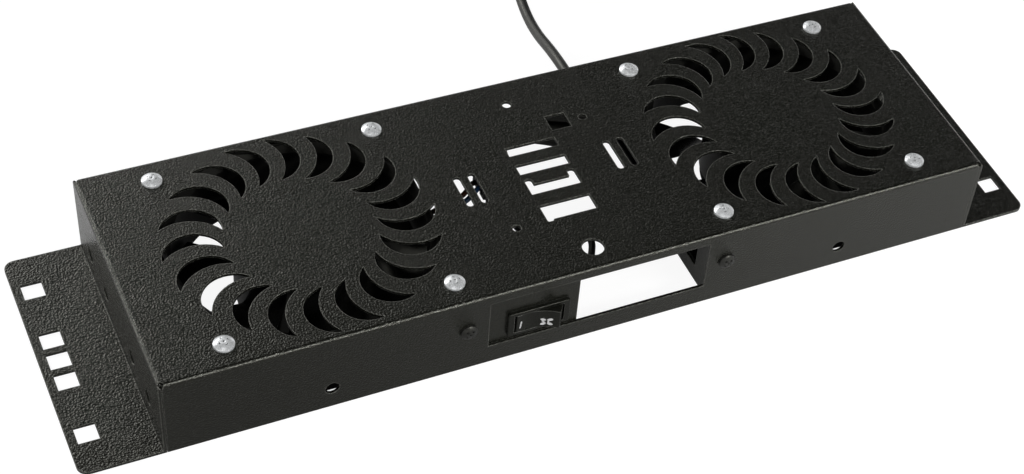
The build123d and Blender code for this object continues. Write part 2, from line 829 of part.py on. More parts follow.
def make_bracket():
    """The folded plate behind the front window, with the switch's cut-out and one side arm."""
    middle = (bracket_bottom + bracket_top) / 2
    window_middle_x = (bracket_window_left + bracket_window_right) / 2
    window_middle_z = (bracket_window_bottom + bracket_window_top) / 2
    with BuildPart() as bracket:
        with BuildSketch(front_plane(front_inside)):
            with Locations((0, middle)):
                RectangleRounded(bracket_length, bracket_top - bracket_bottom, bracket_corner_radius)
            with Locations((window_middle_x, window_middle_z)):
                Rectangle(
                    bracket_window_right - bracket_window_left,
                    bracket_window_top - bracket_window_bottom,
                    mode=Mode.SUBTRACT,
                )
            with Locations(switch_centre):
                Rectangle(
                    switch_body_length + 2 * switch_cutout_clearance,
                    switch_body_height + 2 * switch_cutout_clearance,
                    mode=Mode.SUBTRACT,
                )
            with Locations((0, window_middle)):
                with GridLocations(bracket_screw_spacing, 1, 2, 1):
                    Circle(screw_hole_radius, mode=Mode.SUBTRACT)
        extrude(amount=-bracket_sheet)
        with BuildSketch(end_plane(bracket_window_right - bracket_sheet)):
            with BuildLine():
                arm_top = bracket_arm_bottom + bracket_arm_height
                arm_end = front_inside + bracket_arm_depth
                gusset_end = front_inside + bracket_gusset_depth
                Polyline(
                    (front_inside, bracket_arm_bottom),
                    (arm_end, bracket_arm_bottom),
                    (arm_end, arm_top),
                    (gusset_end, arm_top),
                    (gusset_end, bracket_gusset_top),
                    (front_inside, bracket_gusset_top),
                    close=True,
                )
            make_face()
        extrude(amount=bracket_sheet)
    keep("switch_bracket", bracket.part)
    half = bracket_screw_spacing / 2
    length = sheet + bracket_sheet + nut_height + screw_end_length
    screws = []
    nuts = []
    for x in (-half, half):
        turned = polar(1, bracket_cross_angle)
        seat = Plane((x, front_face, window_middle), x_dir=(turned[0], 0, turned[1]), z_dir=(0, -1, 0))
        screws.append(pan_screw(seat, black_head_radius, black_head_height, length))
        nuts.append(hex_nut(Plane((x, bracket_back, window_middle), x_dir=(1, 0, 0), z_dir=(0, 1, 0))))
    keep("bracket_screws", Compound(children=screws))
    keep("bracket_nuts", Compound(children=nuts))


def make_switch():
    """The rocker switch: a housing with a bezel and a well, a rocker on two pivots, terminals."""
    centre_x, centre_z = switch_centre

    def at(y):
        return Plane((centre_x, y, centre_z), x_dir=(1, 0, 0), z_dir=(0, -1, 0))

    with BuildPart() as housing:
        with BuildSketch(at(front_inside)):
            RectangleRounded(bezel_length, bezel_height, bezel_corner_radius)
        extrude(amount=bezel_thickness)
        fillet(housing.faces().sort_by(Axis.Y)[0].edges(), radius=bezel_edge_radius)
        with BuildSketch(at(front_inside)):
            Rectangle(switch_body_length, switch_body_height)
        extrude(amount=-switch_body_depth)
        with BuildSketch(at(bezel_front)):
            Rectangle(well_length, well_height)
        extrude(amount=-well_depth, mode=Mode.SUBTRACT)
        with BuildSketch(Plane((centre_x, pivot_y, centre_z - switch_body_height))):
            Circle(pivot_radius + pivot_clearance)
        extrude(amount=2 * switch_body_height, mode=Mode.SUBTRACT)
        # Snap barbs on both ends, behind the bracket
        barb_y = bracket_back + barb_gap
        with BuildSketch(Plane((centre_x, 0, centre_z - barb_width / 2))):
            with BuildLine():
                half_body = switch_body_length / 2
                Polyline(
                    (-half_body, barb_y),
                    (-half_body - barb_height, barb_y),
                    (-half_body, barb_y + barb_length),
                    close=True,
                )
            make_face()
            mirror(about=Plane.YZ)
        extrude(amount=barb_width)
    keep("switch_housing", housing.part)

    end_radius = well_length / 2 - rocker_end_clearance
    end_x = sqrt(end_radius**2 - rocker_end_rise**2)
    rocker_height = well_height - 2 * rocker_side_clearance
    with BuildPart() as rocker:
        with BuildSketch(Plane((0, 0, centre_z - rocker_height / 2))):
            with BuildLine():
                left_tip = (-end_x, -rocker_end_rise)
                ThreePointArc(left_tip, (0, -rocker_middle_rise), (end_x, -rocker_end_rise))
                side_point = polar(end_radius, -rocker_shoulder_angle)
                left_keel = (-rocker_keel_half_length, rocker_keel_depth)
                ThreePointArc((end_x, -rocker_end_rise), side_point, (end_radius, 0))
                Line((end_radius, 0), (rocker_keel_half_length, rocker_keel_depth))
                Line((rocker_keel_half_length, rocker_keel_depth), left_keel)
                Line(left_keel, (-end_radius, 0))
                ThreePointArc((-end_radius, 0), (-side_point[0], side_point[1]), left_tip)
            make_face()
        extrude(amount=rocker_height)
        tips = rocker.edges().filter_by(Axis.Z).group_by(Axis.Y)[0]
        fillet(tips, radius=rocker_edge_radius)
        pivot_length = switch_body_height
        with BuildSketch(Plane((0, 0, centre_z - pivot_length / 2))):
            Circle(pivot_radius)
        extrude(amount=pivot_length)
    turned = rocker.part.rotate(Axis.Z, -rocker_tilt)
    keep("switch_rocker", turned.moved(Location((centre_x, pivot_y, 0))))

    body_back = front_inside + switch_body_depth
    with BuildPart() as terminals:
        with BuildSketch(at(body_back)):
            with GridLocations(terminal_spacing, 1, 2, 1):
                Rectangle(terminal_thickness, terminal_width)
        extrude(amount=-terminal_length)
    keep("switch_terminals", terminals.part)


def make_terminal_block():
    """A three-pole screw terminal block, notched between its poles, and its clamping screws."""
    middle_x = (block_left + block_right) / 2
    with BuildPart() as block:
        with BuildSketch(Plane.XY.offset(block_bottom)):
            with Locations((middle_x, block_middle_y)):
                Rectangle(block_right - block_left, block_back - block_front)
        extrude(amount=block_top - block_bottom)
        with BuildSketch(Plane.XY.offset(block_bottom)):
            for edge_x in (block_left, block_right):
                with Locations((edge_x, block_middle_y)):
                    with GridLocations(1, pole_pitch, 1, 2):
                        Circle(block_notch)
        extrude(amount=block_top - block_bottom, mode=Mode.SUBTRACT)
        for edge_x, inward in ((block_left, 1), (block_right, -1)):
            with BuildSketch(end_plane(edge_x)):
                for level in (block_lower_hole, block_upper_hole):
                    with Locations(*[(y, level) for y in pole_places]):
                        Circle(block_hole_radius)
            extrude(amount=inward * block_hole_depth, mode=Mode.SUBTRACT)
        screw_xs = (block_left + block_screw_inset, block_right - block_screw_inset)
        with BuildSketch(Plane.XY.offset(block_top)):
            with Locations(*[(x, y) for x in screw_xs for y in pole_places]):
                Circle(block_screw_radius + fit_clearance)
        extrude(amount=-(block_screw_depth + block_screw_recess), mode=Mode.SUBTRACT)
        chamfer(block.edges().filter_by(Axis.Y).group_by(Axis.Z)[-1], length=block_chamfer)
    keep("terminal_block", block.part)
    screws = []
    for x in screw_xs:
        for number, y in enumerate(pole_places):
            turned = polar(1, block_slot_first_angle + block_slot_angle_step * number)
            head = Plane((x, y, block_top - block_screw_recess), x_dir=(*turned, 0), z_dir=(0, 0, 1))
            with BuildPart() as screw:
                with BuildSketch(head):
                    Circle(block_screw_radius)
                extrude(amount=-block_screw_depth)
                with BuildSketch(head):
                    Rectangle(2 * block_screw_radius, block_slot_width)
                extrude(amount=-block_slot_depth, mode=Mode.SUBTRACT)
            screws.append(screw.part)
    keep("terminal_screws", Compound(children=screws))


def make_leads():
    """The sleeved leads inside the tray, and the single cores, grouped by colour."""
    keep("right_fan_sleeve", tube(right_fan_sleeve_route, fan_sleeve_diameter))
    keep("switch_sleeve", tube(switch_sleeve_route, switch_sleeve_diameter))
    keep("mains_sheath", tube(mains_sheath_route, cord_diameter))
    live, neutral, switched = pole_places
    low, high = block_lower_hole, block_upper_hole
    left_end = block_left + block_hole_depth
    right_end = block_right - block_hole_depth
    frame_edge = fan_centres["left"] + frame_side / 2
    switch_x, terminal_z = switch_centre
    outer_terminal = switch_x - terminal_spacing / 2
    inner_terminal = switch_x + terminal_spacing / 2
    left_brown = [
        (frame_edge, 24.2, 6.8),
        (frame_edge + 8, 24.2, 6.8),
        (-42, 23.4, 12.5),
        (-32, 24, 15),
        (-27, 28.5, 13.6),
        (block_left - 2.4, switched, low),
        (left_end, switched, low),
    ]
    left_blue = [
        (frame_edge, 20.5, 6.8),
        (frame_edge + 8, 20.5, 6.8),
        (-42, 19.7, 12.5),
        (-31, 20.4, 15),
        (-26, 24, 15),
        (block_left - 1.6, neutral, high),
        (left_end, neutral, high),
    ]
    right_brown = [
        (7.3, 54.5, 13.6),
        (1, 54.5, 14),
        (-3.2, 50.5, 14.6),
        (-3.3, 44, high),
        (-3.2, 38.4, high),
        (-4.6, switched, high),
        (right_end, switched, high),
    ]
    right_blue = [
        (7.3, 54.5, 11.6),
        (1.5, 54, 11.3),
        (-1.3, 49, low),
        (-1.2, 31.5, low),
        (-4.6, neutral, low),
        (right_end, neutral, low),
    ]
    mains_brown = [
        (4.6, 56.3, 19.8),
        (1.6, 56, 19.2),
        (0.7, 51, 16.8),
        (0.9, 46, 12.2),
        (0.9, 41, low),
        (0.9, 25.5, low),
        (-4.6, live, low),
        (right_end, live, low),
    ]
    mains_blue = [
        (4.6, 57.3, 21.5),
        (-0.8, 57.5, 20.6),
        (-1.6, 52, 18.2),
        (-1.2, 45.5, 15.4),
        (-1.1, 31.5, high),
        (-4.6, neutral, high),
        (right_end, neutral, high),
    ]
    switch_feed = [
        (-4.8, 12.2, 13),
        (-1.9, 14.6, 14),
        (-2.2, 17.6, high),
        (-4.6, live, high),
        (right_end, live, high),
    ]
    switch_return = [
        (-4.8, 12.2, 11.4),
        (-1.9, 14.6, 9.8),
        (-2.2, 18.6, 8.4),
        (-3, 24, 8.2),
        (-3, 30.5, 8.4),
        (-4.6, switched, low),
        (right_end, switched, low),
    ]
    feed_start = [
        (outer_terminal, terminal_end, terminal_z),
        (outer_terminal, terminal_end + 2.7, terminal_z),
        (switch_x - 2.3, terminal_end + 3.9, terminal_z - 0.7),
        (switch_x - 0.8, terminal_end + 6.7, terminal_z - 1.3),
    ]
    return_start = [
        (inner_terminal, terminal_end, terminal_z),
        (inner_terminal, terminal_end + 2.7, terminal_z),
        (switch_x + 2.3, terminal_end + 3.9, terminal_z - 0.7),
        (switch_x + 0.8, terminal_end + 6.7, terminal_z - 1.3),
    ]
    browns = [tube(left_brown, single_lead_diameter)]
    for route in (right_brown, mains_brown):
        browns.append(tube(route, core_diameter))
    for route in (switch_feed, switch_return, feed_start, return_start):
        browns.append(tube(route, switch_core_diameter))
    keep("brown_cores", Compound(children=browns))
    blues = [tube(left_blue, single_lead_diameter)]
    for route in (right_blue, mains_blue):
        blues.append(tube(route, core_diameter))
    keep("blue_cores", Compound(children=blues))


def make_earth():
    """The earth stud on the back wall, its nut, the ring terminal and the earth core."""
    stud_x, stud_z = stud_place
    seat = Plane((stud_x, back_inside, stud_z), x_dir=(1, 0, 0), z_dir=(0, -1, 0))
    with BuildPart() as stud:
        with BuildSketch(seat):
            Circle(screw_radius)
        extrude(amount=stud_length)
        chamfer(stud.faces().sort_by(Axis.Y)[0].edges(), length=stud_chamfer)
    keep("earth_stud", stud.part)
    barrel_y = back_inside - ring_barrel_radius
    barrel_x = stud_x + ring_barrel_start
    with BuildPart() as ring:
        with BuildSketch(seat):
            Circle(ring_radius)
            with Locations((ring_barrel_start, 0)):
                Rectangle(ring_radius, ring_tongue_width)
            Circle(screw_radius + running_clearance, mode=Mode.SUBTRACT)
        extrude(amount=ring_thickness)
        with BuildSketch(end_plane(barrel_x)):
            with Locations((barrel_y, stud_z)):
                Circle(ring_barrel_radius)
        extrude(amount=ring_barrel_length)
        with BuildSketch(end_plane(barrel_x)):
            with Locations((barrel_y, stud_z)):
                Circle(core_diameter / 2 + fit_clearance)
        extrude(amount=ring_barrel_length, mode=Mode.SUBTRACT)
    keep("ring_terminal", ring.part)
    keep("earth_nut", hex_nut(seat.offset(ring_thickness)))
    core_route = [
        (4.6, 58.3, 19.8),
        (0, 60, 18.4),
        (-3.4, barrel_y, stud_z),
        (barrel_x + 0.2, barrel_y, stud_z),
    ]
    keep("earth_core", tube(core_route, core_diameter))


def make_gland():
    """The strain relief: a flange each side of the back wall and a tapered boot outside."""
    gland_x, gland_z = gland_place
    bore = cord_diameter / 2 + gland_bore_clearance
    inside = -sheet - gland_inner_length
    tip = gland_flange_thickness + gland_boot_length
    with BuildPart() as gland:
        with BuildSketch(Plane((gland_x, half_depth, gland_z), x_dir=(1, 0, 0), z_dir=(0, 0, 1))):
            with BuildLine():
                Polyline(
                    (bore, inside),
                    (gland_inner_radius, inside),
                    (gland_inner_radius, -sheet),
                    (gland_neck_radius, -sheet),
                    (gland_neck_radius, 0),
                    (gland_flange_radius, 0),
                    (gland_flange_radius, gland_flange_thickness - gland_flange_edge),
                    (gland_flange_radius - gland_flange_edge, gland_flange_thickness),
                    (gland_boot_root_radius, gland_flange_thickness),
                    (gland_boot_tip_radius, tip),
                    (gland_mouth_radius, tip),
                    (bore, tip - gland_mouth_depth),
                    close=True,
                )
            make_face()
        revolve(axis=Axis((gland_x, half_depth, gland_z), (0, 1, 0)))
    keep("cord_gland", gland.part)


def make_cord():
    """The cord behind the tray: a tube to the coil, the coil's outer shape, a tail to the plug."""
    keep("mains_cord", tube(cord_route, cord_diameter))
    keep("cord_tail", tube(tail_route, cord_diameter))
    half_turns = coil_turns_per_layer * cord_diameter / 2
    middle_radius = coil_first_turn_radius - half_turns
    ring_half_width = half_turns + cord_diameter / 2
    with BuildPart() as coil:
        with BuildSketch():
            with Locations(coil_centre):
                Circle(middle_radius + ring_half_width)
                Circle(middle_radius - ring_half_width, mode=Mode.SUBTRACT)
        extrude(amount=coil_layers * cord_diameter)
        fillet(coil.edges().filter_by(GeomType.CIRCLE), radius=coil_edge_radius)
    keep("cord_coil", coil.part)


def make_plug():
    """A moulded plug with two round pins and an earth contact on each side, lying on the floor."""
    end = Vector(*tail_route[-1])
    run = end - Vector(*tail_route[-2])
    along = Vector(run.X, run.Y, 0).normalized()
    across = Vector(-along.Y, along.X, 0)
    neck = Plane(end, x_dir=across, z_dir=along)
    shoulder = plug_length - plug_face_length
    with BuildPart() as body:
        with BuildSketch(Plane(end, x_dir=across, z_dir=across.cross(along))):
            with BuildLine():
                collar = (plug_collar_radius, plug_collar_share * shoulder)
                Polyline((0, 0), (plug_neck_radius, 0), collar)
                waist = (plug_waist_radius, plug_waist_share * shoulder)
                ThreePointArc(collar, waist, (plug_radius, shoulder))
                Polyline((plug_radius, shoulder), (plug_radius, plug_length), (0, plug_length), (0, 0))
            make_face()
        revolve(axis=Axis(end, along))
        rim = body.faces().sort_by(Axis(end, along))[-1].edges()
        fillet(rim, radius=plug_rim_radius)
        groove = plug_contact_width + 2 * plug_groove_clearance
        with BuildSketch(neck.offset(shoulder)):
            with GridLocations(1, 2 * plug_radius, 1, 2):
                Rectangle(groove, 2 * plug_contact_depth)
        extrude(amount=plug_face_length, mode=Mode.SUBTRACT)
        with BuildSketch(neck.offset(plug_length - plug_pin_depth)):
            with GridLocations(plug_pin_spacing, 1, 2, 1):
                Circle(plug_pin_radius + fit_clearance)
        extrude(amount=plug_pin_depth, mode=Mode.SUBTRACT)
    keep("plug_body", body.part)
    with BuildPart() as pins:
        with BuildSketch(neck.offset(plug_length - plug_pin_depth)):
            with GridLocations(plug_pin_spacing, 1, 2, 1):
                Circle(plug_pin_radius)
        extrude(amount=plug_pin_depth + plug_pin_length)
        tips = pins.faces().filter_by(GeomType.PLANE).sort_by(Axis(end, along))[-2:]
        fillet(tips.edges(), radius=plug_tip_radius)
    keep("plug_pins", pins.part)
    with BuildPart() as contacts:
        middle = 2 * (plug_radius - plug_contact_depth) + plug_contact_thickness
        with BuildSketch(neck.offset(shoulder)):
            with GridLocations(1, middle, 1, 2):
                Rectangle(plug_contact_width, plug_contact_thickness)
        extrude(amount=plug_face_length)
    keep("plug_contacts", contacts.part)


make_chassis()
make_fan_fixings()
for side, centre in fan_centres.items():
    make_fan_frame(side, centre)
    make_bearings(side, centre)
    make_impeller(side, centre)
    make_motor(side, centre)
make_bracket()
make_switch()
make_terminal_block()
make_leads()
make_earth()
make_gland()
make_cord()
make_plug()

os.makedirs("parts", exist_ok=True)
for name, part in pieces.items():
    export_step(part, f"parts/{name}.step")
tube_check("mains_cord", cord_route, cord_diameter)
tube_check("cord_tail", tail_route, cord_diameter)
tube_check("mains_sheath", mains_sheath_route, cord_diameter)
print(len(pieces), "pieces")
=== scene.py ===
# The looks of the rack fan unit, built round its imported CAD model. Metres, in the CAD's frame.
import math

import bmesh
import bpy
from mathutils import Matrix, Vector
from mathutils.bvhtree import BVHTree


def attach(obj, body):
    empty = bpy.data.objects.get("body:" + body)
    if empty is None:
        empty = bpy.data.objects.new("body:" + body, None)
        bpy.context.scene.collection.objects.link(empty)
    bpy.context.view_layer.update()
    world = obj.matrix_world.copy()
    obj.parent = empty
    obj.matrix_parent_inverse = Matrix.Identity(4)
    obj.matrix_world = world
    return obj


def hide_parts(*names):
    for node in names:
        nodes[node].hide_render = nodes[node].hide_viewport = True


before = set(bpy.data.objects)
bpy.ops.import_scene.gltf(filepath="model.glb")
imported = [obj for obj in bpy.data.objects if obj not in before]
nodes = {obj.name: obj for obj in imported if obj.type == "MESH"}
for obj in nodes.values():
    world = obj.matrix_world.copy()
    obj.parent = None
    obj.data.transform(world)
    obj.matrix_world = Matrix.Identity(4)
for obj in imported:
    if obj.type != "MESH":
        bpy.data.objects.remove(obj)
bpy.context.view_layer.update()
mm = 0.001

# The tray in millimetres, as in part.py
tray_height, half_depth, half_length = 44.0, 65.5, 205.0
sheet = 1.5


# The camera, fitted to the rack's standard sizes in the photograph

image_width, image_height = 1024.0, 474.0
focal_pixels = 2064.56
principal_point = (679.49, 297.46)
camera_place = Vector((-325.96, -625.15, 717.29)) * mm
camera_right = Vector((0.89133, -0.43776, 0.11788))
camera_forward = Vector((0.37769, 0.5732, -0.72718))

camera_data = bpy.data.cameras.new("camera")
camera_data.sensor_width = 36.0
camera_data.lens = focal_pixels / image_width * camera_data.sensor_width
camera_data.shift_x = (image_width / 2 - principal_point[0]) / image_width
camera_data.shift_y = (principal_point[1] - image_height / 2) / image_width
camera_data.clip_start, camera_data.clip_end = 0.01, 50.0
camera = bpy.data.objects.new("camera", camera_data)
bpy.context.scene.collection.objects.link(camera)
back = -camera_forward.normalized()
right = (camera_right - camera_right.dot(back) * back).normalized()
up = back.cross(right)
camera.matrix_world = Matrix.Translation(camera_place) @ Matrix((right, up, back)).transposed().to_4x4()
bpy.context.scene.camera = camera
bpy.context.scene.view_settings.view_transform = "Standard"


# Short ways to write node trees

class NodeTree:
    """A node tree, and the nodes that a material and the world both need"""

    def __init__(self, tree):
        self.tree = tree

    def add(self, kind, **settings):
        node = self.tree.nodes.new(kind)
        for key, value in settings.items():
            setattr(node, key, value)
        return node

    def feed(self, socket, value):
        """Link a socket to it, or set it to a number or a colour"""
        if isinstance(value, bpy.types.NodeSocket):
            self.tree.links.new(value, socket)
        else:
            socket.default_value = value

    def axes(self, vector):
        """The X, Y and Z of a vector, by name"""
        node = self.add("ShaderNodeSeparateXYZ")
        self.feed(node.inputs["Vector"], vector)
        return node.outputs

    def math(self, operation, first, second=0.0):
        node = self.add("ShaderNodeMath", operation=operation)
        self.feed(node.inputs[0], first)
        self.feed(node.inputs[1], second)
        return node.outputs[0]

    def band(self, value, low, high, at_low=0.0, at_high=1.0):
        """A soft step: at_low where the value is under low, and at_high where it is over high"""
        node = self.add("ShaderNodeMapRange", interpolation_type="SMOOTHSTEP")
        self.feed(node.inputs["Value"], value)
        for key, end in (("From Min", low), ("From Max", high), ("To Min", at_low), ("To Max", at_high)):
            self.feed(node.inputs[key], end)
        return node.outputs["Result"]


class Shade(NodeTree):
    """One node material round a Principled shader, whose sockets are given by name"""

    def __init__(self, name, **sockets):
        self.material = bpy.data.materials.new(name)
        self.material.use_nodes = True
        super().__init__(self.material.node_tree)
        self.shader = self.tree.nodes["Principled BSDF"]
        for key, value in sockets.items():
            self.shader.inputs[key.replace("_", " ")].default_value = value
        self.place = self.add("ShaderNodeTexCoord").outputs["Object"]

    def noise(self, scale, detail=2.0, stretch=None):
        place = self.place
        if stretch is not None:
            mapping = self.add("ShaderNodeMapping")
            self.feed(mapping.inputs["Vector"], place)
            mapping.inputs["Scale"].default_value = stretch
            place = mapping.outputs["Vector"]
        node = self.add("ShaderNodeTexNoise")
        self.feed(node.inputs["Vector"], place)
        node.inputs["Scale"].default_value = scale
        node.inputs["Detail"].default_value = detail
        return node.outputs["Fac"]

    def ramp(self, value, *stops):
        """Colours or grey levels between two stops, each a position and its colour"""
        node = self.add("ShaderNodeValToRGB")
        self.feed(node.inputs["Fac"], value)
        for element, (position, colour) in zip(node.color_ramp.elements, stops):
            element.position = position
            element.color = (*colour, 1.0) if isinstance(colour, tuple) else (colour, colour, colour, 1.0)
        return node.outputs["Color"]

    def mix(self, share, first, second):
        node = self.add("ShaderNodeMix", data_type="RGBA")
        self.feed(node.inputs["Factor"], share)
        for socket, value in ((node.inputs[6], first), (node.inputs[7], second)):
            self.feed(socket, (*value, 1.0) if isinstance(value, tuple) else value)
        return node.outputs[2]

    def edge(self, radius):
        """The normal of an edge that paint or moulding has softened"""
        node = self.add("ShaderNodeBevel", samples=4)
        node.inputs["Radius"].default_value = radius
        return node.outputs["Normal"]

    def edge_share(self, normal, low, high):
        """From 0 on a flat face to 1 on its very edge, by how far the softened normal turns"""
        flat = self.add("ShaderNodeNewGeometry").outputs["Normal"]
        turn = self.add("ShaderNodeVectorMath", operation="DOT_PRODUCT")
        self.feed(turn.inputs[0], normal)
        self.feed(turn.inputs[1], flat)
        return self.band(turn.outputs["Value"], 1 - high, 1 - low, 1.0, 0.0)

    def hollow(self, distance):
        """From 0 in a narrow hollow to 1 in the open"""
        node = self.add("ShaderNodeAmbientOcclusion", samples=8)
        node.inputs["Distance"].default_value = distance
        return node.outputs["AO"]

    def bump(self, height, distance, strength, under=None):
        """Raise the surface by a height, on top of the normal under it where one is given"""
        node = self.add("ShaderNodeBump")
        node.inputs["Distance"].default_value = distance
        node.inputs["Strength"].default_value = strength
        self.feed(node.inputs["Height"], height)
        if under is not None:
            self.feed(node.inputs["Normal"], under)
        self.feed(self.shader.inputs["Normal"], node.outputs["Normal"])
        return node.outputs["Normal"]

    def colour(self, socket):
        self.feed(self.shader.inputs["Base Color"], socket)

    def roughness(self, socket):
        self.feed(self.shader.inputs["Roughness"], socket)


def scaled(numbers, share):
    return tuple(number * share for number in numbers)


# Materials

warm_tint = (1.0, 1.0, 0.88, 1.0)
grain_scale, fine_scale, dust_scale, cloud_scale = 1160.0, 3600.0, 2300.0, 26.0
coat_dark, coat_light = (0.0022, 0.0024, 0.0015), (0.0076, 0.0080, 0.0058)
# Dust specks, then the pale colour of a highlight painted on the coat's edges and bends; then the softened
# edge, and the width of the painted highlight's edge
dust_colour, painted_highlight_colour = (0.045, 0.045, 0.04), (0.2, 0.2, 0.18)
soft_edge, highlight_edge_width = 0.6 * mm, 0.9 * mm

# How far inside the tray's outer faces the painted highlight of a bend starts, and where it is full
bend_start, bend_full = 1.0, 0.6


def bend_highlight_share(s):
    """The middle of the tray's front, back and end bends, where a highlight is painted"""
    place = s.axes(s.place)

    def close_to(value, limit):
        return s.band(value, (limit - bend_start) * mm, (limit - bend_full) * mm)

    long_bends = close_to(s.math("ABSOLUTE", place["Y"]), half_depth)
    end_bends = close_to(s.math("ABSOLUTE", place["X"]), half_length)
    return s.math("MULTIPLY", close_to(place["Z"], tray_height), s.math("MAXIMUM", long_bends, end_bends))


def powder_coat(name, rough, grain_depth, **sockets):
    """Textured black powder coat: a leathery grain, a finer one on it, a few specks of dust, and a painted
    highlight on its edges and bends
    """
    s = Shade(name, Specular_Tint=warm_tint, **sockets)
    grain = s.noise(grain_scale, 1.2)
    fine = s.noise(fine_scale, 1.0)
    tone = s.ramp(grain, (0.36, coat_dark), (0.66, coat_light))
    dust = s.ramp(s.noise(dust_scale, 0.0, (1.0, 1.0, 1.3)), (0.74, 0.0), (0.8, 1.0))
    # Painted highlight: pale colour along the cut edges and the middle of the bends, speckled by the grain
    highlight_share = s.math("MAXIMUM", s.edge_share(s.edge(highlight_edge_width), 0.02, 0.2), bend_highlight_share(s))
    painted_highlight_rim = s.math("MULTIPLY", highlight_share, s.ramp(grain, (0.4, 0.25), (0.6, 1.0)))
    s.colour(s.mix(painted_highlight_rim, s.mix(dust, tone, dust_colour), painted_highlight_colour))
    fine_rough = s.ramp(fine, (0.3, rough), (0.7, rough + 0.08))
    s.roughness(s.math("ADD", fine_rough, s.ramp(s.noise(cloud_scale), (0.3, 0.0), (0.7, 0.05))))
    grained = s.bump(grain, grain_depth, 1.0, s.edge(soft_edge))
    s.bump(fine, 0.03 * mm, 0.3, grained)
    return s.material


def plastic(name, colour, rough, grain=1400.0, depth=0.03 * mm, painted_highlight_rim=None, **sockets):
    """Moulded plastic or rubber, clouded and finely grained, with a highlight painted along its edges where a
    colour for it is given
    """
    s = Shade(name, Specular_Tint=warm_tint, **sockets)
    fine = s.noise(grain)
    soft = s.edge(0.3 * mm)
    body = s.ramp(s.noise(60.0, 3.0), (0.35, scaled(colour, 0.75)), (0.65, colour))
    s.colour(body if painted_highlight_rim is None else s.mix(s.edge_share(soft, 0.01, 0.12), body, painted_highlight_rim))
    s.roughness(s.ramp(fine, (0.3, rough[0]), (0.7, rough[1])))
    s.bump(fine, depth, 0.5, soft)
    return s.material


def metal(name, colour, rough, grain=900.0, depth=0.03 * mm, metallic=1.0, painted_recess_shade=False):
    """Plain or plated metal, mottled and finely grained, with painted shade down in its recess where asked"""
    s = Shade(name, Metallic=metallic)
    fine = s.noise(grain)
    body = s.ramp(s.noise(700.0, 3.0), (0.35, scaled(colour, 0.8)), (0.65, colour))
    if painted_recess_shade:
        # Painted shade: darker where ambient occlusion finds a narrow hollow, such as a screw's cross recess
        body = s.mix(s.band(s.hollow(1.0 * mm), 0.45, 0.75), scaled(colour, 0.06), body)
    s.colour(body)
    s.roughness(s.ramp(fine, (0.3, rough[0]), (0.7, rough[1])))
    s.bump(fine, depth, 0.4, s.edge(0.2 * mm))
    return s.material


def winding():
    """Enamelled copper wire laid side by side"""
    s = Shade("winding", Metallic=1.0)
    wave = s.add("ShaderNodeTexWave", bands_direction="Z")
    s.feed(wave.inputs["Vector"], s.place)
    wave.inputs["Scale"].default_value = 420.0
    wave.inputs["Distortion"].default_value = 0.6
    wires = wave.outputs["Fac"]
    s.colour(s.ramp(wires, (0.2, (0.30, 0.09, 0.04)), (0.8, (0.78, 0.33, 0.15))))
    s.roughness(s.ramp(wires, (0.2, 0.45), (0.8, 0.25)))
    s.bump(wires, 0.12 * mm, 0.8)
    return s.material


def earth_skin():
    """Green insulation with yellow stripes"""
    s = Shade("earth_skin")
    fine = s.noise(1400.0)
    stripes_per_metre = 520.0
    wave = s.math("PINGPONG", s.math("MULTIPLY", s.axes(s.place)["Z"], stripes_per_metre), 1.0)
    s.colour(s.mix(s.ramp(wave, (0.46, 0.0), (0.54, 1.0)), (0.05, 0.28, 0.05), (0.72, 0.62, 0.03)))
    s.roughness(s.ramp(fine, (0.3, 0.3), (0.7, 0.42)))
    s.bump(fine, 0.03 * mm, 0.5)
    return s.material


coat = powder_coat("powder_coat", 0.15, 0.45 * mm)
plate_paint = powder_coat("plate_paint", 0.2, 0.1 * mm, Specular_IOR_Level=0.5)
fan_plastic = plastic("fan_plastic", (0.006, 0.006, 0.0055), (0.45, 0.58), Specular_IOR_Level=0.1)
blade_plastic = plastic("blade_plastic", (0.006, 0.0063, 0.006), (0.16, 0.26), Specular_IOR_Level=0.3)
# The switch's pale edge colour is a painted highlight along the bezel's and rocker's edges
switch_plastic = plastic("switch_plastic", (0.006, 0.0063, 0.0048), (0.2, 0.3), 2200.0, 0.01 * mm,
                         painted_highlight_rim=(0.26, 0.26, 0.24), Specular_IOR_Level=0.3)
black_oxide = plastic("black_oxide", (0.012, 0.012, 0.012), (0.26, 0.42), 900.0, 0.04 * mm)
block_plastic = plastic("block_plastic", (0.012, 0.012, 0.012), (0.36, 0.5))
sleeve_rubber = plastic("sleeve_rubber", (0.014, 0.014, 0.014), (0.34, 0.46))
moulded_rubber = plastic("moulded_rubber", (0.014, 0.014, 0.014), (0.42, 0.58))
cord_jacket = plastic("cord_jacket", (0.022, 0.022, 0.022), (0.34, 0.46))
brown_skin = plastic("brown_skin", (0.07, 0.022, 0.012), (0.34, 0.46))
blue_skin = plastic("blue_skin", (0.014, 0.06, 0.16), (0.34, 0.46))
mark_ink = plastic("mark_ink", (0.86, 0.86, 0.86), (0.4, 0.5))
zinc = metal("zinc", (0.93, 0.95, 0.96), (0.22, 0.3), 1800.0, 0.01 * mm, metallic=0.42, painted_recess_shade=True)
steel = metal("steel", (0.58, 0.58, 0.59), (0.22, 0.38))
stator_steel = metal("stator_steel", (0.3, 0.3, 0.31), (0.35, 0.5))
brass = metal("brass", (0.74, 0.57, 0.28), (0.24, 0.4))
nickel = metal("nickel", (0.74, 0.72, 0.67), (0.16, 0.3))
copper = winding()

